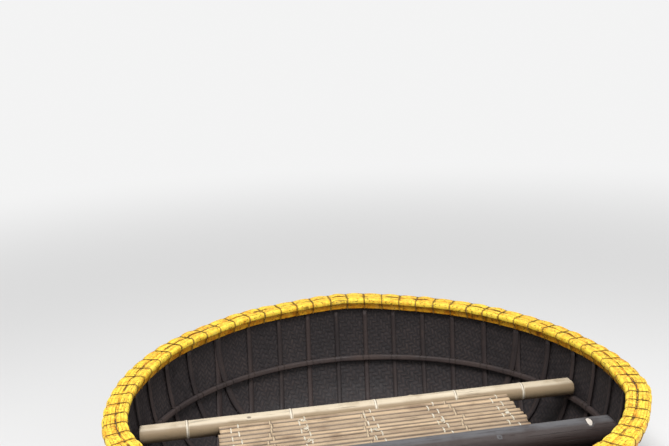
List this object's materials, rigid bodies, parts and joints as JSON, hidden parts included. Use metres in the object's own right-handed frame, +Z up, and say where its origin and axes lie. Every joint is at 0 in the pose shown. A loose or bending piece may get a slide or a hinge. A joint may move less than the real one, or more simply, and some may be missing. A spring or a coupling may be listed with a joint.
{
  "type": "round woven bamboo basket boat",
  "caption": "Round woven bamboo coracle with a tarred bowl hull, a lashed yellow split-bamboo rim, inside laths and a slatted bench between two thwarts.",
  "frame": {"origin": "centre of the flat of the bottom, on the surface the boat stands on", "axes": "+Z up, -Y towards the viewer of the picture, +X to the viewer's right; the bench's line is turned 10 degrees from +X towards +Y"},
  "size_m": [2.1068, 2.1068, 0.6844],
  "materials": {
    "tarred_weave": "woven bamboo mat sealed with dark resin, dull with a slight sheen",
    "painted_bamboo": "split bamboo under worn yellow paint",
    "painted_cord": "thin cord under worn yellow paint",
    "tarred_lath": "split bamboo stained dark with resin",
    "dark_pole": "weathered grey-brown pole",
    "pale_bamboo": "weathered grey-beige bamboo",
    "bearer_bamboo": "weathered bamboo, darker than the slats",
    "pale_cord": "pale plastic cord"
  },
  "bodies": {
    "root": {"back_thwart": "pale_bamboo", "bench_bearer_1": "bearer_bamboo", "bench_bearer_2": "bearer_bamboo", "bench_bearer_3": "bearer_bamboo", "bench_bearer_4": "bearer_bamboo", "bench_bearer_5": "bearer_bamboo", "bench_slat_1": "pale_bamboo", "bench_slat_10": "pale_bamboo", "bench_slat_11": "pale_bamboo", "bench_slat_2": "pale_bamboo", "bench_slat_3": "pale_bamboo", "bench_slat_4": "pale_bamboo", "bench_slat_5": "pale_bamboo", "bench_slat_6": "pale_bamboo", "bench_slat_7": "pale_bamboo", "bench_slat_8": "pale_bamboo", "bench_slat_9": "pale_bamboo", "front_thwart": "dark_pole", "hull_mat": "tarred_weave", "inner_cap_hoop": "painted_bamboo", "inner_clamp_hoop": "painted_bamboo", "laths_crossways": "tarred_lath", "laths_lengthways": "tarred_lath", "middle_hoop": "tarred_lath", "outer_cap_hoop": "painted_bamboo", "outer_clamp_hoop": "painted_bamboo", "rim_lashings": "painted_cord", "slat_lashings": "pale_cord"}
  },
  "joints": []
}
